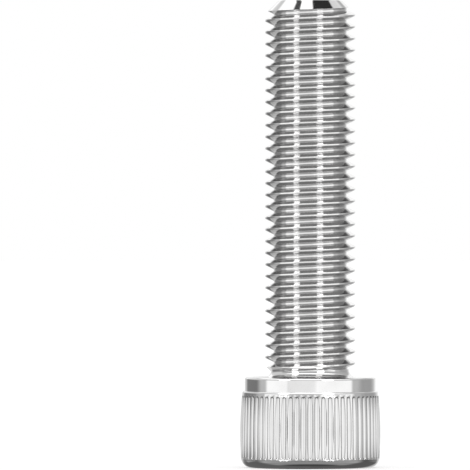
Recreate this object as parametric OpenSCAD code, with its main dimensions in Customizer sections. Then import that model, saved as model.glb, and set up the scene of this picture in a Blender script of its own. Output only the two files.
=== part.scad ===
// Socket head cap screw, M16 x 65 with a full-length thread, standing on its head.
// Millimetres. The origin is the middle of the head's end face, and the axis is +Z towards the tip.
// One forged and rolled piece: a knurled head with a hexagon socket, a short neck and a threaded shank.

/* [Head] */
// Diameter over the knurled ridges at the widest place
head_d = 24.2; // [23.4:0.1:26]
// Height of the head, from its end face to the bearing face
head_h = 15.6; // [15:0.1:18]
// Radius of the rounded edge at the end face
end_round = 1.8; // [0.6:0.1:2]
// Height of the widest place above the end face
belly_z = 6; // [5:0.5:8]
// Radius of the slightly barrelled side, seen from the side
barrel_r = 66; // [50:1:120]
// Rounding of the corner where the knurled band steps in
band_round = 0.3; // [0.1:0.05:0.4]

/* [Plain ring under the bearing face] */
// Diameter of the plain ring
ring_d = 22.6; // [21:0.1:22.8]
// Height of the plain ring
ring_h = 2.4; // [1.5:0.1:4]
// Rounding of the ring's outer edge at the bearing face
ring_round = 0.4; // [0.1:0.05:0.5]

/* [Knurl] */
// Number of grooves round the head
groove_count = 64; // [40:1:66]
// Radius of the round-bottomed grooves
groove_r = 0.57; // [0.4:0.01:0.6]
// Depth of the grooves at their ends
groove_depth = 0.18; // [0.1:0.01:0.22]
// Plain edge left above the grooves, up to the step
groove_land = 0.55; // [0.4:0.05:1.5]
// Height at which the grooves run out over the rounded edge
groove_z = 1.35; // [1:0.05:3]

/* [Hexagon socket] */
// Width across the flats of the socket
socket_af = 14; // [12:0.5:15]
// Depth of the straight flats
socket_depth = 8; // [5:0.5:9]
// How far the countersink's mouth stands outside the corners of the hexagon, on the radius
mouth_margin = 0.4; // [0.1:0.05:0.8]
// Slope of the countersink, from the end face
mouth_slope = 30; // [20:1:40]
// Slope of the six faces that close the bottom of the socket, from the level
bottom_slope = 25; // [15:1:35]
// Diameter of the small round flat in the middle of the bottom
punch_d = 4.2; // [3:0.1:6]

/* [Shank] */
// Length from the bearing face to the tip
shank_l = 65; // [40:1:80]
// Diameter of the neck between the head and the thread
neck_d = 13.4; // [13:0.1:14.2]
// Straight length of the neck above its fillet
neck_land = 0.1; // [0.05:0.05:2]
// How far the fillet under the head ends outside the thread, on the radius
seat_gap = 0.15; // [0.05:0.05:0.6]
// Diameter of the flat end at the tip
tip_d = 10.8; // [8:0.1:11.6]
// Slope of the chamfer at the tip, from the axis
tip_slope = 45; // [30:1:50]

/* [Thread] */
// Diameter over the crests
thread_d = 15.6; // [15.2:0.1:16]
// Pitch, the rise of one turn
pitch = 2; // [1.75:0.25:2.5]
// Angle between the two flanks of a groove
flank_angle = 50; // [48:1:60]
// Width of the narrow flat along the crest
crest_flat = 0.2; // [0.05:0.01:0.3]
// Width of the narrow flat along the root
root_flat = 0.2; // [0.05:0.01:0.3]
// Height above the bearing face at which a crest passes the +X side
crest_start = 2.4; // [1:0.1:3]
// Height above the bearing face at which the thread starts to rise out of the neck
runout_z = 0.9; // [0.5:0.1:3]
// Slope of that run-out, from the axis
runout_slope = 45; // [30:1:60]

/* [Hidden] */

steel = [0.78, 0.78, 0.79];
thread_sides = 30;
round_fn = 192;

head_r = head_d / 2;
ring_r = ring_d / 2;
band_top = head_h - ring_h;
total_h = head_h + shank_l;

crest_r = thread_d / 2;
thread_depth = (pitch - crest_flat - root_flat) / 2 / tan(flank_angle / 2);
root_r = crest_r - thread_depth;
neck_r = neck_d / 2;
seat_r = crest_r + seat_gap;
neck_fillet = seat_r - neck_r;
neck_top = head_h + neck_fillet + neck_land;
// The turned shape that the thread is cut from stands this far clear of the crests
blank_gap = 0.05;
blank_r = crest_r + blank_gap;
// Overlap that lets two stacked forms fuse
fuse = 0.5;

socket_corner_r = socket_af / 2 / cos(30);
mouth_r = socket_corner_r + mouth_margin;
punch_r = punch_d / 2;
bottom_rise = (socket_corner_r - punch_r) * tan(bottom_slope);

// Centre of the big arc that gives the head its barrelled side, in the half section
barrel_x = head_r - barrel_r;

// Half section: where an arc of radius r touches the inside of the barrelled side at height z
function inside_barrel(r, z) = [barrel_x + sqrt(pow(barrel_r - r, 2) - pow(z - belly_z, 2)), z];

// Corner cutter in the half section: all that lies outside an arc of radius r about c,
// between the vertical direction up (1) or down (-1) and the barrelled side
module corner_waste(c, r, up) {
    reach = 4 * r;
    to_side = c - [barrel_x, belly_z];
    side = c + reach * to_side / norm(to_side);
    difference() {
        polygon([c, c + [0, up * reach], c + [reach, up * reach], side]);
        translate(c) circle(r, $fn = round_fn);
    }
}

// The knurled band in half section: a barrelled side between two rounded corners
module band_section() {
    difference() {
        intersection() {
            square([head_r, band_top]);
            translate([barrel_x, belly_z]) circle(barrel_r, $fn = 8 * round_fn);
        }
        corner_waste(inside_barrel(end_round, end_round), end_round, -1);
        corner_waste(inside_barrel(band_round, band_top - band_round), band_round, 1);
    }
}

// The plain ring in half section, with its rounded edge at the bearing face
module ring_section() {
    arc_x = ring_r - ring_round;
    arc_z = head_h - ring_round;
    square([ring_r, arc_z]);
    square([arc_x, head_h]);
    translate([arc_x, arc_z]) circle(ring_round, $fn = round_fn);
}

// The neck in half section: a fillet out to the seat, a short straight part and a slope into the thread
module neck_section() {
    slope_h = neck_r - root_r;
    polygon([[0, head_h - fuse], [neck_r, head_h - fuse], [neck_r, neck_top],
             [root_r, neck_top + slope_h], [0, neck_top + slope_h]]);
    difference() {
        translate([0, head_h - fuse]) square([seat_r, neck_fillet + fuse]);
        translate([seat_r, head_h + neck_fillet]) circle(neck_fillet, $fn = round_fn);
    }
}

// What the thread is cut from, in half section: it opens from the neck and closes in the chamfered tip
module blank_section() {
    runout_h = (blank_r - neck_r) / tan(runout_slope);
    chamfer_h = (blank_r - tip_d / 2) / tan(tip_slope);
    polygon([[0, head_h - fuse], [neck_r, head_h - fuse], [neck_r, head_h + runout_z],
             [blank_r, head_h + runout_z + runout_h], [blank_r, total_h - chamfer_h],
             [tip_d / 2, total_h], [0, total_h]]);
}

// Where the middle of a groove's channel lies at height z, to cut one groove depth into the side
function groove_axis(z) = inside_barrel(groove_depth - groove_r, z);

// One knurled groove: a straight round-bottomed channel with ball ends. It runs straight between two
// places on the barrelled side, so it's deepest in the middle of its length.
module groove() {
    low = groove_axis(groove_z + groove_r);
    high = groove_axis(band_top - groove_land - groove_r);
    run = high - low;
    translate([low[0], 0, low[1]]) rotate([0, atan2(run[0], run[1]), 0]) {
        cylinder(h = norm(run), r = groove_r, $fn = 24);
        for (z = [0, norm(run)]) translate([0, 0, z]) sphere(groove_r, $fn = 24);
    }
}

// The hexagon socket: countersunk mouth, six straight flats, six sloping faces and a small round flat
module socket() {
    mouth_h = mouth_r * tan(mouth_slope);
    translate([0, 0, -fuse]) cylinder(h = socket_depth + fuse, r = socket_corner_r, $fn = 6);
    cylinder(h = mouth_h, r1 = mouth_r, r2 = 0, $fn = round_fn);
    translate([0, 0, socket_depth])
        cylinder(h = bottom_rise, r1 = socket_corner_r, r2 = punch_r, $fn = 6);
    translate([0, 0, socket_depth]) cylinder(h = bottom_rise, r = punch_r, $fn = round_fn);
}

// One pitch of the thread's outline, as height and radius: the two edges of the flat along the
// crest, and then the two edges of the flat along the root
outline = [[-crest_flat / 2, crest_r], [crest_flat / 2, crest_r],
           [(pitch - root_flat) / 2, root_r], [(pitch + root_flat) / 2, root_r]];
per_turn = len(outline);
// The helix starts inside the head, below all that the blank leaves of it, and ends past the tip
thread_foot = head_h + crest_start - pitch * (ceil((crest_start + 2 * fuse) / pitch) + 1);
row_count = per_turn * ceil((total_h - thread_foot) / pitch + 1);

// A point of the thread's surface: rows follow the helix, and sides are the columns round the axis
function thread_point(side, row) =
    let (turns = side / thread_sides + floor(row / per_turn), edge = outline[row % per_turn])
    [edge[1] * cos(360 * turns), edge[1] * sin(360 * turns), thread_foot + pitch * turns + edge[0]];

// The thread as one closed surface. The last column meets the first one a turn higher, and a fan of
// triangles about a point on the axis closes each end.
module thread() {
    sides = thread_sides;
    rows = row_count;
    points = [for (side = [0 : sides - 1], row = [0 : rows - 1]) thread_point(side, row)];
    low = len(points);
    high = low + 1;
    ends = [[0, 0, thread_foot - pitch], [0, 0, thread_foot + pitch * (rows / per_turn + 1)]];
    function at(side, row) = side < sides ? side * rows + row : row + per_turn;
    function last_row(side) = side < sides - 1 ? rows - 2 : rows - 2 - per_turn;
    wall = [for (side = [0 : sides - 1], row = [0 : last_row(side)])
        each [[at(side, row), at(side, row + 1), at(side + 1, row + 1)],
              [at(side, row), at(side + 1, row + 1), at(side + 1, row)]]];
    low_edge = concat([for (side = [0 : sides]) at(side, 0)],
                      [for (row = [per_turn - 1 : -1 : 1]) at(0, row)]);
    high_edge = concat([for (side = [0 : sides - 1]) at(side, rows - 1)],
                       [for (row = [2 : per_turn + 1]) at(sides - 1, rows - row)]);
    low_fan = [for (i = [0 : len(low_edge) - 1])
        [low, low_edge[i], low_edge[(i + 1) % len(low_edge)]]];
    high_fan = [for (i = [0 : len(high_edge) - 1])
        [high, high_edge[(i + 1) % len(high_edge)], high_edge[i]]];
    polyhedron(concat(points, ends), concat(wall, low_fan, high_fan));
}

module head() {
    difference() {
        rotate_extrude($fn = round_fn) {
            band_section();
            ring_section();
        }
        for (i = [0 : groove_count - 1]) rotate([0, 0, 360 * i / groove_count]) groove();
        socket();
    }
}

module shank() {
    rotate_extrude($fn = round_fn) neck_section();
    intersection() {
        thread();
        rotate_extrude($fn = round_fn) blank_section();
    }
}

module cap_screw() {
    color(steel) {
        head();
        shank();
    }
}

cap_screw();
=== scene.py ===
import math

import bpy
import numpy as np
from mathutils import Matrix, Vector


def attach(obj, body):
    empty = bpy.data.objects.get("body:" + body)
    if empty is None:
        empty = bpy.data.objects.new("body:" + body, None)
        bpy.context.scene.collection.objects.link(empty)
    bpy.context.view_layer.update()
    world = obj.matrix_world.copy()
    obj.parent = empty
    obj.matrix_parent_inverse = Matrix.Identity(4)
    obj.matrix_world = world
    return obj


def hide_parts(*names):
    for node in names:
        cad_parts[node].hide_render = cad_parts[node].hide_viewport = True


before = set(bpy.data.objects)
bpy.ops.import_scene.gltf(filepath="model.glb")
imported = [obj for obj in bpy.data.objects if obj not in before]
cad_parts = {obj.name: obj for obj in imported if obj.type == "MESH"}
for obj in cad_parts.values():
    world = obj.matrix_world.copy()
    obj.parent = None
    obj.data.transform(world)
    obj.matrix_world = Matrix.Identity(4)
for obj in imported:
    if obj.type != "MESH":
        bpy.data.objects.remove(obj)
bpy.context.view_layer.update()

# Camera: a long lens a good way off, about level with the upper part of the shank, so that the
# bearing face is seen edge on and the floor only just shows under the head. All lengths here and
# below are in millimetres, unless a name ends in _M for metres.

MM = 0.001
PHOTO_SIDE = 470
PIXELS_PER_MM = 5.8
AXIS_COLUMN = 310.3
TIP_ROW = 0.2
SCREW_LENGTH = 80.6
FOCAL_LENGTH = 1066
SENSOR_WIDTH = 36
CAMERA_HEIGHT = 64.0
FARTHEST_SEEN_M = 20

lens = bpy.data.cameras.new("camera")
lens.lens = FOCAL_LENGTH
lens.sensor_width = SENSOR_WIDTH
lens.clip_end = FARTHEST_SEEN_M
camera = bpy.data.objects.new("camera", lens)
bpy.context.scene.collection.objects.link(camera)
bpy.context.scene.camera = camera
bpy.context.scene.view_settings.view_transform = "Standard"

distance = FOCAL_LENGTH / SENSOR_WIDTH * PHOTO_SIDE / PIXELS_PER_MM
middle_height = SCREW_LENGTH - (PHOTO_SIDE / 2 - TIP_ROW) / PIXELS_PER_MM
left_of_axis = (AXIS_COLUMN - PHOTO_SIDE / 2) / PIXELS_PER_MM
camera.location = Vector((0, -distance, CAMERA_HEIGHT)) * MM
looks_at = Vector((-left_of_axis, 0, middle_height)) * MM
camera.rotation_euler = (looks_at - camera.location).to_track_quat("-Z", "Y").to_euler()

# Studio: a white sweep all round, with soft panels and narrow strips of light to the left and right
# of the camera, a lamp over it and dark cards at the sides, which is what a polished screw mirrors.
# The floor gets one plain light, and the background is white.


def node(tree, kind, inputs=None, **settings):
    """A node of this kind with its settings and inputs: a link where the value is a socket, else a
    constant."""
    made = tree.nodes.new(kind)
    for name, value in settings.items():
        setattr(made, name, value)
    for name, value in (inputs or {}).items():
        socket = made.inputs[name]
        if isinstance(value, bpy.types.NodeSocket):
            tree.links.new(value, socket)
        else:
            socket.default_value = value
    return made


def maths(tree, operation, a, b=0.0):
    """One Math node's result."""
    return node(tree, "ShaderNodeMath", {0: a, 1: b}, operation=operation).outputs[0]


def soft_card():
    """A soft-edged card in the studio: takes the tone seen so far and lays the card's own Level over it,
    where Across lies between Left and Right and Up between Bottom and Top, with edges Soft wide."""
    group = bpy.data.node_groups.new("soft_card", "ShaderNodeTree")
    sockets = group.interface
    for name in ("Tone", "Across", "Up", "Left", "Right", "Bottom", "Top", "Soft", "Level"):
        sockets.new_socket(name, in_out="INPUT", socket_type="NodeSocketFloat")
    sockets.new_socket("Tone", in_out="OUTPUT", socket_type="NodeSocketFloat")
    given = group.nodes.new("NodeGroupInput").outputs
    result = group.nodes.new("NodeGroupOutput")
    half = maths(group, "MULTIPLY", given["Soft"], 0.5)
    mask = None
    for value, low, high in (("Across", "Left", "Right"), ("Up", "Bottom", "Top")):
        for edge, sign in ((low, 1), (high, -1)):
            inside = maths(group, "SUBTRACT", given[value], given[edge])
            step = node(group, "ShaderNodeMapRange", {
                "Value": maths(group, "MULTIPLY", inside, sign),
                "From Min": maths(group, "MULTIPLY", half, -1.0), "From Max": half,
            }, interpolation_type="SMOOTHSTEP").outputs[0]
            mask = step if mask is None else maths(group, "MULTIPLY", mask, step)
    tone = node(group, "ShaderNodeMix", {"Factor": mask, "A": given["Tone"], "B": given["Level"]})
    group.links.new(tone.outputs[0], result.inputs["Tone"])
    return group


def lay_cards(tree, card, cards, tone, across, up):
    """The tone after each card in turn has been laid over those before it."""
    for left, right, bottom, top, soft, level in cards:
        tone = node(tree, "ShaderNodeGroup", {
            "Tone": tone, "Across": across, "Up": up, "Left": left, "Right": right,
            "Bottom": bottom, "Top": top, "Soft": soft, "Level": level}, node_tree=card).outputs[0]
    return tone


# Cards on the studio's walls: left, right, bottom and top edge in degrees, edge softness, level.
# Across is the bearing from the camera's side of the screw, positive to the right, so that an edge
# at 400 or -400 lies past the back. Each card covers those before it.
WALL_CARDS = [
    (-400, 400, 38, 100, 10, 1.6),     # light from above
    (50, 400, 36, 100, 14, 1.0),       # less of it on the right
    (-110, 95, 42, 78, 12, 2.8),       # the big lamp over the camera
    (-400, 400, -100, -34, 8, 0.38),   # floor close to the screw, in its shade
    (-400, 400, -140, -62, 16, 0.08),  # floor right under it
    (100, 400, -100, -8, 24, 0.14),    # floor behind it, right
    (-400, -100, -100, -8, 24, 0.16),  # floor behind it, left
    (160, 400, -24, -6, 12, 0.6),      # the lit floor farther behind, right
    (-400, -96, 8, 36, 10, 0.9),       # wall, left and behind
    (-400, -156, 5, 30, 8, 1.35),      # lit wall straight behind, left half
    (156, 400, 5, 30, 8, 1.2),         # lit wall straight behind, right half
    (-140, -80, -20, -6, 8, 0.5),      # lit floor on the left
    (-400, 400, -8, 9, 6, 0.72),       # the white sweep at the level of the screw
    (-150, -103, -8, 9, 16, 0.26),     # dark card, left and behind
    (-84, -39, -9, 10, 8, 1.45),       # wide soft panel, left
    (-40, 11, -9, 10, 6, 1.22),        # front of the room
    (9, 79, -9, 10, 7, 1.45),          # wide soft panel, right
    (98, 142, -12, 12, 20, 0.48),      # grey card, right and behind
    (154, 400, -8, 9, 16, 1.05),       # sweep straight behind, right half
    (-400, -160, -8, 9, 16, 0.85),     # sweep straight behind, left half
    (-57, -38, -29.5, -16, 5, 2.8),    # left strip, under the sweep
    (-57, -38, 12, 29.5, 5, 5.0),      # left strip, over the sweep
    (22, 42, -29.5, -16, 5, 2.8),      # right strip, under the sweep
    (22, 42, 12, 29.5, 5, 5.2),        # right strip, over the sweep
]
# Cards overhead, which the tip's chamfer mirrors: left and right edge of x over z, nearest and
# farthest edge of y over z, edge softness, level
CEILING_CARDS = [
    (-9.0, 9.0, -0.15, 40, 0.04, 1.0),
    (-0.68, -0.42, -0.15, 40, 0.04, 1.7),
    (-0.40, -0.256, -0.15, 40, 0.03, 0.1),
    (-0.25, 0.066, -0.15, 40, 0.03, 1.8),
    (0.066, 0.57, -0.15, 40, 0.04, 0.04),
]
ROOM_LEVEL = 0.6
PLAIN_LEVEL = 1.04
WHITE_LEVEL = 1.0
WHITE = (1, 1, 1, 1)
# The heights in degrees between which the ceiling takes over from the walls, and the least rise of a
# direction that is divided by
CEILING_START = 44.0
CEILING_FULL = 50.0
LEAST_RISE = 0.02

world = bpy.data.worlds.new("studio")
bpy.context.scene.world = world
world.use_nodes = True
tree = world.node_tree
tree.nodes.clear()
direction = node(tree, "ShaderNodeTexCoord").outputs["Generated"]
to_right, to_back, to_top = node(tree, "ShaderNodeSeparateXYZ", {0: direction}).outputs
to_front = maths(tree, "MULTIPLY", to_back, -1.0)
bearing = maths(tree, "DEGREES", maths(tree, "ARCTAN2", to_right, to_front))
height = maths(tree, "DEGREES", maths(tree, "ARCSINE", to_top))
card = soft_card()
walls = lay_cards(tree, card, WALL_CARDS, ROOM_LEVEL, bearing, height)
rise = maths(tree, "MAXIMUM", to_top, LEAST_RISE)
over_x, over_y = maths(tree, "DIVIDE", to_right, rise), maths(tree, "DIVIDE", to_back, rise)
ceiling = lay_cards(tree, card, CEILING_CARDS, walls, over_x, over_y)
overhead = node(tree, "ShaderNodeMapRange", {
    "Value": height, "From Min": CEILING_START, "From Max": CEILING_FULL},
    interpolation_type="SMOOTHSTEP").outputs[0]
mirrored_tone = node(tree, "ShaderNodeMix", {"Factor": overhead, "A": walls, "B": ceiling}).outputs[0]
mirrored = node(tree, "ShaderNodeBackground", {"Color": WHITE, "Strength": mirrored_tone})
plain = node(tree, "ShaderNodeBackground", {"Color": WHITE, "Strength": PLAIN_LEVEL})
white = node(tree, "ShaderNodeBackground", {"Color": WHITE, "Strength": WHITE_LEVEL})
path = node(tree, "ShaderNodeLightPath").outputs
shiny = maths(tree, "MAXIMUM", path["Is Glossy Ray"], path["Is Transmission Ray"])
lit = node(tree, "ShaderNodeMixShader", {0: shiny, 1: plain.outputs[0], 2: mirrored.outputs[0]})
seen = node(tree, "ShaderNodeMixShader", {
    0: path["Is Camera Ray"], 1: lit.outputs[0], 2: white.outputs[0]})
node(tree, "ShaderNodeOutputWorld", {"Surface": seen.outputs[0]})

# Floor: a wide sheet of white paper under the screw. It glows a little, as overexposed paper does, so
# that only the contact shadow is left on it, and it stays out of the steel, which mirrors the
# studio's cards.

FLOOR_RADII_M = [0.05, 0.4, 3.0]
FLOOR_SIDES = 96
PAPER = (0.5, 0.5, 0.5, 1)
PAPER_GLOW = 0.55
PAPER_ROUGHNESS = 0.9


def disc(radii, sides):
    """Flat disc z = 0: rings (r cos a, r sin a) of the given radii about the origin, closed to the
    middle."""
    turn = 2 * math.pi * np.arange(sides) / sides
    r = np.asarray(radii, float)[:, None]
    rings = np.stack([r * np.cos(turn), r * np.sin(turn), np.zeros((len(radii), sides))], -1)
    j = np.arange(sides)
    k = (j + 1) % sides
    faces = np.stack([0 * j, 1 + j, 1 + k], 1).tolist()
    for i in range(len(radii) - 1):
        low, high = 1 + i * sides, 1 + (i + 1) * sides
        faces += np.stack([low + j, high + j, high + k, low + k], 1).tolist()
    return [[0, 0, 0]] + rings.reshape(-1, 3).tolist(), faces


floor_points, floor_faces = disc(FLOOR_RADII_M, FLOOR_SIDES)
floor_mesh = bpy.data.meshes.new("floor")
floor_mesh.from_pydata(floor_points, [], floor_faces)
floor = bpy.data.objects.new("floor", floor_mesh)
bpy.context.scene.collection.objects.link(floor)
paper = bpy.data.materials.new("white_paper")
paper.use_nodes = True
paper_shader = paper.node_tree.nodes["Principled BSDF"].inputs
paper_shader["Base Color"].default_value = PAPER
paper_shader["Emission Color"].default_value = WHITE
paper_shader["Emission Strength"].default_value = PAPER_GLOW
paper_shader["Roughness"].default_value = PAPER_ROUGHNESS
paper_shader["Specular IOR Level"].default_value = 0.0
floor_mesh.materials.append(paper)
floor.visible_glossy = False

# Screw: one piece of steel, cold forged from bar. The head is upset and knurled, the socket is punched
# and the thread is rolled along the whole shank. It stands on the head's end face, so the socket
# opens downwards.

# The head. Its radius is 12.1 less a little, to stay inside the box of the source's flat facets.
HEAD_R = 12.094
HEAD_H = 15.6
END_ROUND = 1.8
BELLY_Z = 6.0
BARREL_R = 66.0
BAND_ROUND = 0.3
BAND_TOP = 13.2
BAND_ARC_Z = BAND_TOP - BAND_ROUND

# The hexagon socket, with a countersunk mouth and a small round flat in the middle of its bottom
SOCKET_AF = 14.0
SOCKET_DEPTH = 8.0
MOUTH_R = 8.483
MOUTH_SLOPE = math.radians(30)
PUNCH_R = 2.1
BOTTOM_Z = 10.79
SOCKET_COLUMNS = 96
SOCKET_STEPS = 4
# Rows that keep the end face flat in the shading: this far outside the mouth, and this far inside the
# rounded edge
MOUTH_EDGE_ROW = 0.03
ROUND_EDGE_ROW = 0.6


def arc(centre, radius, start, end, steps):
    """Points of a circular arc in the half section, from one angle to the other in degrees."""
    turn = np.radians(np.linspace(start, end, steps + 1))
    return np.stack([centre[0] + radius * np.cos(turn), centre[1] + radius * np.sin(turn)], 1)


def turned(section, columns):
    """Surface of revolution: every point (radius, height) of the half section carried round the axis."""
    turn = 2 * math.pi * np.arange(columns) / columns
    section = np.asarray(section, float)
    r, z = section[:, :1], section[:, 1:]
    return np.stack([r * np.cos(turn), r * np.sin(turn), z + 0 * turn], -1)


def off_flat(turn):
    """Angle between a direction round the axis and the middle of the nearest flat of the hexagon, whose
    corners lie on the X axis and every 60 degrees from it."""
    sixth = math.pi / 3
    return (turn % sixth) - sixth / 2


def arc_middle(radius, z):
    """How far from the axis the middle of an arc lies, at height z, that touches the barrelled side from
    inside: from the barrel's middle it is as far off as the barrel's radius less its own."""
    return HEAD_R - BARREL_R + math.sqrt((BARREL_R - radius) ** 2 - (z - BELLY_Z) ** 2)


end_arc_x = arc_middle(END_ROUND, END_ROUND)
band_arc_x = arc_middle(BAND_ROUND, BAND_ARC_Z)

# The socket's rows, from the middle of its bottom out over six sloping faces, down the six flats, over
# the mouth and along the end face
turn = 2 * math.pi * np.arange(SOCKET_COLUMNS) / SOCKET_COLUMNS
flat_angle = off_flat(turn)
hexagon = SOCKET_AF / 2 / np.cos(flat_angle)
bottom_apothem = PUNCH_R * math.cos(math.pi / 6)
share = (SOCKET_AF / 2 - PUNCH_R * np.cos(flat_angle)) / (SOCKET_AF / 2 - bottom_apothem)
punch_edge = SOCKET_DEPTH + (BOTTOM_Z - SOCKET_DEPTH) * share
mouth_edge = (MOUTH_R - hexagon) * math.tan(MOUTH_SLOPE)
steps = np.linspace(0, 1, SOCKET_STEPS + 1)
socket_rows = [(r + 0 * turn, BOTTOM_Z + 0 * turn) for r in (0, 0.5 * PUNCH_R, PUNCH_R)]
socket_rows += [(PUNCH_R + t * (hexagon - PUNCH_R), punch_edge + t * (SOCKET_DEPTH - punch_edge))
                for t in steps]
socket_rows += [(hexagon, SOCKET_DEPTH + t * (mouth_edge - SOCKET_DEPTH)) for t in steps[1:]]
socket_rows += [(r + 0 * turn, 0 * turn)
                for r in (MOUTH_R, MOUTH_R + MOUTH_EDGE_ROW, end_arc_x - ROUND_EDGE_ROW)]
socket = np.stack([np.stack([r * np.cos(turn), r * np.sin(turn), z], -1) for r, z in socket_rows])

# The knurled band: 64 round-bottomed grooves in a barrelled side
GROOVES = 64
GROOVE_R = 0.57
GROOVE_END_DEPTH = 0.18
GROOVE_LOW = 1.92
GROOVE_HIGH = 12.08
# Columns for each groove and the ridge beside it, and how many lie in the groove on each side of its
# middle
GROOVE_COLUMNS = 12
GROOVE_REACH = 5
# The step in height with which the grooves' ends are looked for
SCAN_STEP = 0.001
# Rows on the rounded edge, over the grooves' low and high ends, between those, and on the top corner,
# which starts this far round its arc. Two more rows stand just below and above the corner's start.
EDGE_ROWS = 10
LOW_END_ROWS = 9
HIGH_END_ROWS = 8
BETWEEN_ROWS = 10
CORNER_ROWS = 6
CORNER_START = math.radians(6)
CORNER_EDGE_ROWS = [-0.06, 0.01]


def barrel(z):
    """Radius of the barrelled side at height z: a big arc about the height of the widest place."""
    return HEAD_R - BARREL_R + np.sqrt(BARREL_R ** 2 - (z - BELLY_Z) ** 2)


def touch_height(radius, z):
    """Height where such an arc, with its middle at height z, touches the barrelled side: on the line
    through its middle and the barrel's."""
    return BELLY_Z + (z - BELLY_Z) * BARREL_R / (BARREL_R - radius)


def band_radius(z):
    """Radius of the band's half section: its rounded edge at the end face, the barrel and its rounded
    top corner, which meet where the arcs touch the barrel."""
    low = end_arc_x + np.sqrt(np.maximum(END_ROUND ** 2 - (z - END_ROUND) ** 2, 0))
    high = band_arc_x + np.sqrt(np.maximum(BAND_ROUND ** 2 - (z - BAND_ARC_Z) ** 2, 0))
    low_z, high_z = touch_height(END_ROUND, END_ROUND), touch_height(BAND_ROUND, BAND_ARC_Z)
    return np.where(z < low_z, low, np.where(z > high_z, high, barrel(z)))


def groove_cut(z):
    """Where a groove's cutter is at height z: how far its middle stands from the axis, and its radius
    there. The cutter is a round bar with ball ends that runs straight between two places on the side."""
    near = np.clip(z, GROOVE_LOW, GROOVE_HIGH)
    ends = barrel(np.array([GROOVE_LOW, GROOVE_HIGH])) - GROOVE_END_DEPTH + GROOVE_R
    middle = ends[0] + (ends[1] - ends[0]) * (near - GROOVE_LOW) / (GROOVE_HIGH - GROOVE_LOW)
    return middle, np.sqrt(np.maximum(GROOVE_R ** 2 - (z - near) ** 2, 0))


def groove_half_angle(z):
    """Half the angle that a groove takes up at height z, where its cutter's circle meets the band's."""
    side = band_radius(z)
    middle, radius = groove_cut(z)
    return np.arccos(np.clip((side ** 2 + middle ** 2 - radius ** 2) / (2 * side * middle), -1, 1))


def band_rows():
    """Heights of the band's rows: fine over the rounded edges and the grooves' round ends, where they
    follow sines and cosines, and wide between them."""
    fine = np.linspace(0, BAND_TOP, round(BAND_TOP / SCAN_STEP) + 1)
    cut = fine[groove_half_angle(fine) > 0]
    foot, head = cut[0], cut[-1]
    quarter = math.pi / 2
    edge_turn = np.linspace(0, math.acos(1 - foot / END_ROUND), EDGE_ROWS)[:-1]
    edge = END_ROUND * (1 - np.cos(edge_turn))
    low_end = GROOVE_LOW - (GROOVE_LOW - foot) * np.cos(np.linspace(0, quarter, LOW_END_ROWS))
    high_end = GROOVE_HIGH + (head - GROOVE_HIGH) * np.sin(np.linspace(0, quarter, HIGH_END_ROWS))
    between = np.linspace(GROOVE_LOW, GROOVE_HIGH, BETWEEN_ROWS)[1:-1]
    corner_edge = [BAND_ARC_Z + gap for gap in CORNER_EDGE_ROWS]
    corner = BAND_ARC_Z + BAND_ROUND * np.sin(np.linspace(CORNER_START, quarter, CORNER_ROWS))
    return np.concatenate([edge, low_end, between, high_end, corner_edge, corner])


def knurled_band():
    """The band as rows of 12 columns to a groove: within a groove the columns spread over its own width
    at that height, so that they follow its edges, and the radius is where the cutter's circle lies."""
    z = band_rows()[:, None]
    half = groove_half_angle(z)
    step = 2 * math.pi / GROOVES / GROOVE_COLUMNS
    column = np.arange(GROOVES * GROOVE_COLUMNS)
    place = (column + GROOVE_COLUMNS // 2) % GROOVE_COLUMNS - GROOVE_COLUMNS // 2
    centre = (column - place) * step
    inside = np.abs(place) <= GROOVE_REACH
    width = np.where(half > 0, half, GROOVE_REACH * step)
    offset = np.where(inside, place / GROOVE_REACH * width, place * step)
    side = band_radius(z)
    middle, radius = groove_cut(z)
    chord = np.sqrt(np.maximum(radius ** 2 - (middle * np.sin(offset)) ** 2, 0))
    groove = middle * np.cos(offset) - chord
    r = np.where(inside & (half > 0), np.minimum(side, groove), side)
    turn = centre + offset
    return np.stack([r * np.cos(turn), r * np.sin(turn), z + 0 * turn], -1)


band = knurled_band()

# The plain ring, the bearing face and the fillet under the head. A row close to an edge keeps the face
# beside it flat in the shading. The thread starts to rise out of the neck at its own height.
RING_R = 11.3
RING_ROUND = 0.4
STEP_ROW = 0.03
EDGE_ROW = 0.05
SEAT_R = 7.95
NECK_R = 6.7
FILLET = SEAT_R - NECK_R
THREAD_RISE = 0.9
THREAD_Z = HEAD_H + THREAD_RISE
SHANK_COLUMNS = 64

ring_arc_x, ring_arc_z = RING_R - RING_ROUND, HEAD_H - RING_ROUND
fillet_end = 180 + math.degrees(math.asin((HEAD_H + FILLET - THREAD_Z) / FILLET))
under_head = turned(np.concatenate([
    [[RING_R, BAND_TOP], [RING_R, BAND_TOP + STEP_ROW], [RING_R, ring_arc_z - EDGE_ROW]],
    arc((ring_arc_x, ring_arc_z), RING_ROUND, 0, 90, steps=6),
    [[ring_arc_x - EDGE_ROW, HEAD_H], [SEAT_R + EDGE_ROW, HEAD_H]],
    arc((SEAT_R, HEAD_H + FILLET), FILLET, 270, fillet_end, steps=10)]), SHANK_COLUMNS)

# The thread: rolled, right-hand, with flats along the crest and the root, rounded corners beside them
# and flanks that bulge a little. A negative bow is outwards, and the flank's angle is to the plane
# across the axis. A crest passes the +X side at the first crest's rise above the bearing face.
CREST_R = 7.8
PITCH = 2.0
FLANK = math.radians(25.2)
FLANK_BOW = -0.03
CREST_FLAT = 0.25
ROOT_FLAT = 0.36
CREST_ROUND = 0.04
ROOT_ROUND = 0.06
FIRST_CREST_RISE = 2.44
FIRST_CREST = HEAD_H + FIRST_CREST_RISE
FLANK_EDGE_ROW = 0.03
BLANK_GAP = 0.05
NECK_LAND = 0.1
TIP_R = 5.4
TIP_EDGE = 0.15
TIP_FACE_ROW = 0.04
TIP_MIDDLE_R = 2.5

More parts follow.
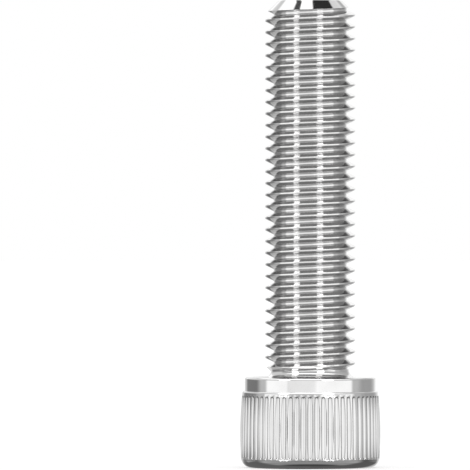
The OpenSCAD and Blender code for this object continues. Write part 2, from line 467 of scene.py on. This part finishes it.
# How far along the axis a corner's arc starts before the corner, for a radius of one, and how far a
# flank runs along the axis
slant = math.tan((math.pi / 2 - FLANK) / 2)
flank_run = (PITCH - CREST_FLAT - ROOT_FLAT) / 2


def thread_radius(off):
    """Radius of the thread at a distance along the axis from the middle of the nearest crest: a narrow
    flat, an arc over the crest's corner, a straight flank with a parabola's bow added, and the root's
    arc and flat the other way round."""
    slope = math.tan(FLANK)
    depth = flank_run / slope
    crest_start = CREST_FLAT / 2 - CREST_ROUND * slant
    root_start = (PITCH - ROOT_FLAT) / 2 + ROOT_ROUND * slant
    crest_end = crest_start + CREST_ROUND * math.cos(FLANK)
    root_end = root_start - ROOT_ROUND * math.cos(FLANK)
    over = np.clip(off - crest_start, 0, CREST_ROUND)
    under = np.clip(root_start - off, 0, ROOT_ROUND)
    crest = CREST_R - CREST_ROUND + np.sqrt(CREST_ROUND ** 2 - over ** 2)
    root = CREST_R - depth + ROOT_ROUND - np.sqrt(ROOT_ROUND ** 2 - under ** 2)
    down = np.clip((off - CREST_FLAT / 2) / flank_run, 0, 1)
    flank = CREST_R - (off - CREST_FLAT / 2) / slope - 4 * FLANK_BOW * down * (1 - down)
    return np.where(off < crest_end, crest, np.where(off > root_end, root, flank))


def thread(turn, z):
    """The endless thread. Its crest rises one pitch in each turn, anticlockwise seen from the tip, and
    the radius follows from the distance along the axis to the nearest crest."""
    pitches = (z - FIRST_CREST) / PITCH - turn / (2 * math.pi)
    return thread_radius(np.abs(pitches - np.round(pitches)) * PITCH)


def blank(z):
    """What the thread is cut from: it opens at 45 degrees from the neck and closes at 45 degrees to the
    tip."""
    opening = np.minimum(NECK_R + np.maximum(z - THREAD_Z, 0), CREST_R + BLANK_GAP)
    return np.minimum(opening, TIP_R + SCREW_LENGTH - z)


def neck(z):
    """The fillet and the neck under the thread, which close at 45 degrees into the thread's root."""
    lift = HEAD_H + FILLET
    fillet = SEAT_R - np.sqrt(np.maximum(FILLET ** 2 - np.maximum(lift - z, 0) ** 2, 0))
    return np.where(z < lift + NECK_LAND, fillet, NECK_R - (z - lift - NECK_LAND))


def shank_radius(turn, z):
    """The shank's surface: the thread where it lies inside the blank, and the neck where that stands out
    of it."""
    return np.maximum(neck(z), np.minimum(thread(turn, z), blank(z)))


def one_pitch():
    """Places of a pitch's rows along the axis: the root's arc, the flank with a row near each end of it,
    the crest's arc, and the same back down again."""
    sweep = np.linspace(0, math.pi / 2 - FLANK, 4)
    root = ROOT_FLAT / 2 - ROOT_ROUND * slant + ROOT_ROUND * np.sin(sweep)
    crest = (PITCH - CREST_FLAT) / 2 + CREST_ROUND * slant - CREST_ROUND * np.sin(sweep[::-1])
    flank = np.linspace(root[-1] + FLANK_EDGE_ROW, crest[0] - FLANK_EDGE_ROW, 4)
    half = np.concatenate([root, flank, crest])
    return np.concatenate([half, PITCH - half[::-1]]) + PITCH / 2


def snap(turn, z, difference):
    """Moves the nearest row on to each place where the difference of two surfaces changes its sign in a
    column, found on a straight line between the rows. Says which points have moved."""
    d = difference(turn, z)
    change = (d[:-1] * d[1:] < 0)
    share = np.where(change, d[:-1] / np.where(change, d[:-1] - d[1:], 1), 0)
    place = z[:-1] + share * (z[1:] - z[:-1])
    lower, upper = change & (share < 0.5), change & (share >= 0.5)
    moved, marked = z.copy(), np.zeros(z.shape, bool)
    moved[:-1] = np.where(lower, place, moved[:-1])
    moved[1:] = np.where(upper, place, moved[1:])
    marked[:-1] |= lower
    marked[1:] |= upper
    return moved, marked


def threaded_shank():
    """The shank as columns whose rows follow the helix, held to its two ends. Each column's rows move on
    to the edges where the thread meets the blank or the neck."""
    turn = 2 * math.pi * np.arange(SHANK_COLUMNS + 1) / SHANK_COLUMNS
    end_z = SCREW_LENGTH - TIP_EDGE * math.tan(math.pi / 8) * math.sin(math.pi / 4)
    pitches = np.arange(-3, math.ceil((SCREW_LENGTH - FIRST_CREST) / PITCH) + 1)
    rows = (FIRST_CREST + PITCH * pitches[:, None] + one_pitch()).ravel()
    z = np.clip(rows[:, None] + PITCH * turn / (2 * math.pi), THREAD_Z, end_z)
    z, first = snap(turn, z, lambda t, h: thread(t, h) - blank(h))
    z, second = snap(turn, z, lambda t, h: np.minimum(thread(t, h), blank(h)) - neck(h))
    r = shank_radius(turn, z)
    return np.stack([r * np.cos(turn), r * np.sin(turn), z], -1), turn, z, r, first | second


shank, shank_turn, shank_z, shank_r, shank_edge = threaded_shank()

# The flat end of the tip, inside a small rounded edge
tip_arc_x = TIP_R - TIP_EDGE * math.tan(math.pi / 8)
tip = turned(np.concatenate([
    arc((tip_arc_x, SCREW_LENGTH - TIP_EDGE), TIP_EDGE, 45, 90, steps=3),
    [[tip_arc_x - TIP_FACE_ROW, SCREW_LENGTH], [TIP_MIDDLE_R, SCREW_LENGTH], [0, SCREW_LENGTH]]]),
    SHANK_COLUMNS)

# All of it in one closed mesh
points, triangles, creases = [], [], []


def add(patch, marked=None):
    """Keeps a patch's points and gives their numbers, in the patch's rows and columns."""
    before = sum(len(kept) for kept in points)
    flat = patch.reshape(-1, 3)
    points.append(flat)
    creases.append(np.zeros(len(flat), bool) if marked is None else marked.ravel())
    return before + np.arange(len(flat)).reshape(patch.shape[:2])


def cells(a, b, c, d, other=None):
    """Two triangles for each four-sided cell a b c d, cut from a to c, or from b to d where other is
    true."""
    other = np.zeros(a.shape, bool) if other is None else other
    first = np.where(other[..., None], np.stack([a, b, d], -1), np.stack([a, b, c], -1))
    second = np.where(other[..., None], np.stack([b, c, d], -1), np.stack([a, c, d], -1))
    triangles.extend([first.reshape(-1, 3), second.reshape(-1, 3)])


def close_round(number):
    """Cells of a patch whose last column meets its first."""
    following = np.roll(number, -1, 1)
    cells(number[:-1], following[:-1], following[1:], number[1:])


def fan(few, many, outwards):
    """Joins a ring of few points to one of many, each segment of the first taking as many of the
    second."""
    k = len(many) // len(few)
    m = many.reshape(len(few), k)
    m_next = np.concatenate([m[:, 1:], np.roll(m[:, :1], -1, 0)], 1)
    near = np.where(np.arange(k) < k // 2, few[:, None], np.roll(few, -1)[:, None])
    made = np.stack([near, m, m_next], -1).reshape(-1, 3)
    middle = np.stack([few, m[:, k // 2], np.roll(few, -1)], -1)
    both = np.concatenate([made, middle])
    triangles.append(both if outwards else both[:, ::-1])


socket_at, band_at, under_at = add(socket), add(band), add(under_head)
shank_at, tip_at = add(shank[:, :-1], shank_edge[:, :-1]), add(tip)
for patch in (socket_at, band_at, under_at, tip_at):
    close_round(patch)
fan(socket_at[-1], band_at[0], outwards=False)
fan(under_at[0], band_at[-1], outwards=True)

# The shank's last column meets the first a pitch higher, so the rows there are shifted by one pitch
per_pitch = len(one_pitch())
past_end = np.repeat(shank_at[-1:, :1], per_pitch, 0)
wide = np.concatenate([shank_at, np.concatenate([shank_at[per_pitch:, :1], past_end])], 1)
mid_turn = (shank_turn[:-1] + shank_turn[1:]) / 2
# A diagonal has to be better by this much before it takes over from the other
CLEARLY_BETTER = 1e-6


def miss(z_a, r_a, z_b, r_b):
    """How far the true surface's radius is from that in the middle of a cell's diagonal, from a to b."""
    return np.abs(shank_radius(mid_turn, (z_a + z_b) / 2) - (r_a + r_b) / 2)


rising = miss(shank_z[:-1, :-1], shank_r[:-1, :-1], shank_z[1:, 1:], shank_r[1:, 1:])
falling = miss(shank_z[:-1, 1:], shank_r[:-1, 1:], shank_z[1:, :-1], shank_r[1:, :-1])
cells(wide[:-1, :-1], wide[:-1, 1:], wide[1:, 1:], wide[1:, :-1], falling + CLEARLY_BETTER < rising)


def weld(points, triangles, marked, gap):
    """Gives points that lie in one place one number, and drops the triangles that this closes up."""
    _, first, number = np.unique(np.round(points / gap).astype(np.int64), axis=0,
                                 return_index=True, return_inverse=True)
    number = number.ravel()
    joined = number[triangles]
    a, b, c = joined.T
    is_open = (a != b) & (b != c) & (c != a)
    edge = np.zeros(len(first), bool)
    np.logical_or.at(edge, number, marked)
    return points[first], joined[is_open], edge


def sharpen(mesh, marked, plain_angle, marked_angle):
    """Marks the edges that turn by more than an angle as sharp, and by a smaller one where both ends are
    marked. The turn is the angle between the normals of the two triangles that share the edge."""
    ends = np.empty(2 * len(mesh.edges), np.int32)
    mesh.edges.foreach_get("vertices", ends)
    of_loop = np.empty(len(mesh.loops), np.int32)
    mesh.loops.foreach_get("edge_index", of_loop)
    normal = np.empty(3 * len(mesh.polygons), np.float32)
    mesh.polygons.foreach_get("normal", normal)
    normal = normal.reshape(-1, 3)
    pair = np.argsort(of_loop, kind="stable").reshape(-1, 2) // 3
    turn = np.degrees(np.arccos(np.clip((normal[pair[:, 0]] * normal[pair[:, 1]]).sum(1), -1, 1)))
    sharp = (turn > plain_angle) | ((turn > marked_angle) & marked[ends.reshape(-1, 2)].all(1))
    mesh.attributes.new("sharp_edge", "BOOLEAN", "EDGE").data.foreach_set("value", sharp)


points, triangles, creases = weld(
    np.concatenate(points), np.concatenate(triangles), np.concatenate(creases), gap=1e-4)
mesh = bpy.data.meshes.new("screw_body")
mesh.from_pydata((points * MM).tolist(), [], triangles.tolist())
mesh.update()
mesh.shade_smooth()
sharpen(mesh, creases, plain_angle=29, marked_angle=8)
screw = bpy.data.objects.new("screw_body", mesh)
bpy.context.scene.collection.objects.link(screw)

# The screw's steel, polished all over by tumbling. The polish is never quite even, flat faces keep
# faint rings from the turning tool, and shade is painted into the knurl's grooves just under their
# edges.
STEEL_DARK = (0.600, 0.598, 0.597, 1)
STEEL_LIGHT = (0.690, 0.688, 0.687, 1)
# Near black painted into the knurl's grooves as shade, how much of it, and how it fades at the grooves'
# ends
GROOVE_SHADE_COLOUR = (0.02, 0.02, 0.02, 1)
GROOVE_SHADE_SHARE = 0.4
GROOVE_SHADE_END_FADE = 0.1
RING_SPACING = 0.16
RELIEF_HEIGHT = 0.0015
RELIEF_STRENGTH = 0.5
GRAIN_SHARE = 0.35

steel = bpy.data.materials.new("polished_steel")
steel.use_nodes = True
tree = steel.node_tree
shader = tree.nodes["Principled BSDF"]
shader.inputs["Metallic"].default_value = 1.0
coordinates = node(tree, "ShaderNodeTexCoord").outputs
spot = node(tree, "ShaderNodeVectorMath", {0: coordinates["Object"], "Scale": 1 / MM},
            operation="SCALE").outputs[0]
x, y, height_mm = node(tree, "ShaderNodeSeparateXYZ", {0: spot}).outputs
x_squared, y_squared = maths(tree, "MULTIPLY", x, x), maths(tree, "MULTIPLY", y, y)
from_axis = maths(tree, "SQRT", maths(tree, "ADD", x_squared, y_squared))


def fade(value, start, end, least=0.0, most=1.0):
    """A value carried from one range to another on a straight line, and held at its ends."""
    return node(tree, "ShaderNodeMapRange", {
        "Value": value, "From Min": start, "From Max": end, "To Min": least, "To Max": most}).outputs[0]


cloud = node(tree, "ShaderNodeTexNoise", {
    "Vector": spot, "Scale": 0.22, "Detail": 4.0, "Roughness": 0.6}).outputs[0]
metal = node(tree, "ShaderNodeMix", {
    "Factor": fade(cloud, 0.2, 0.8), "A": STEEL_DARK, "B": STEEL_LIGHT}, data_type="RGBA")

# How far a place lies under the barrelled side, which is only so within a groove of the knurl. The
# barrel's arc is taken as a parabola here. The painted shade is darkest between 0.03 and 0.1 deep, and
# stays between the grooves' ends.
off_belly = maths(tree, "SUBTRACT", height_mm, BELLY_Z)
sag = maths(tree, "DIVIDE", maths(tree, "MULTIPLY", off_belly, off_belly), 2 * BARREL_R)
depth = maths(tree, "SUBTRACT", maths(tree, "SUBTRACT", HEAD_R, sag), from_axis)
sunk = maths(tree, "MULTIPLY", fade(depth, 0.005, 0.03), fade(depth, 0.2, 0.1, least=0.12))
groove_middle = (GROOVE_LOW + GROOVE_HIGH) / 2
groove_end = GROOVE_HIGH + GROOVE_R - groove_middle
off_middle = maths(tree, "ABSOLUTE", maths(tree, "SUBTRACT", height_mm, groove_middle))
between_ends = fade(off_middle, groove_end + GROOVE_SHADE_END_FADE, groove_end)
# Painted shade: in the grooves the base colour goes this share of the way to near black
groove_shade = maths(tree, "MULTIPLY", maths(tree, "MULTIPLY", sunk, between_ends), GROOVE_SHADE_SHARE)
colour = node(tree, "ShaderNodeMix", {
    "Factor": groove_shade, "A": metal.outputs["Result"], "B": GROOVE_SHADE_COLOUR}, data_type="RGBA")
tree.links.new(colour.outputs["Result"], shader.inputs["Base Color"])

haze = node(tree, "ShaderNodeTexNoise", {"Vector": spot, "Scale": 0.9, "Detail": 3.0}).outputs[0]
tree.links.new(fade(haze, 0.3, 0.7, least=0.04, most=0.09), shader.inputs["Roughness"])

# Turning rings on the faces that lie square to the axis, and a fine grain all over
facing = node(tree, "ShaderNodeSeparateXYZ", {0: coordinates["Normal"]}).outputs[2]
square = fade(maths(tree, "ABSOLUTE", facing), 0.97, 0.995)
wobble = node(tree, "ShaderNodeTexNoise", {"Vector": spot, "Scale": 1.5, "Detail": 2.0}).outputs[0]
phase = maths(tree, "ADD", maths(tree, "MULTIPLY", from_axis, 2 * math.pi / RING_SPACING), wobble)
rings = maths(tree, "MULTIPLY", maths(tree, "SINE", phase), square)
grain = node(tree, "ShaderNodeTexNoise", {"Vector": spot, "Scale": 2.2, "Detail": 2.0}).outputs[0]
relief = maths(tree, "ADD", rings, maths(tree, "MULTIPLY", grain, GRAIN_SHARE))
bump = node(tree, "ShaderNodeBump", {
    "Height": relief, "Strength": RELIEF_STRENGTH, "Distance": RELIEF_HEIGHT * MM})
tree.links.new(bump.outputs[0], shader.inputs["Normal"])

mesh.materials.append(steel)
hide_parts("cap_screw")
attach(screw, "root")
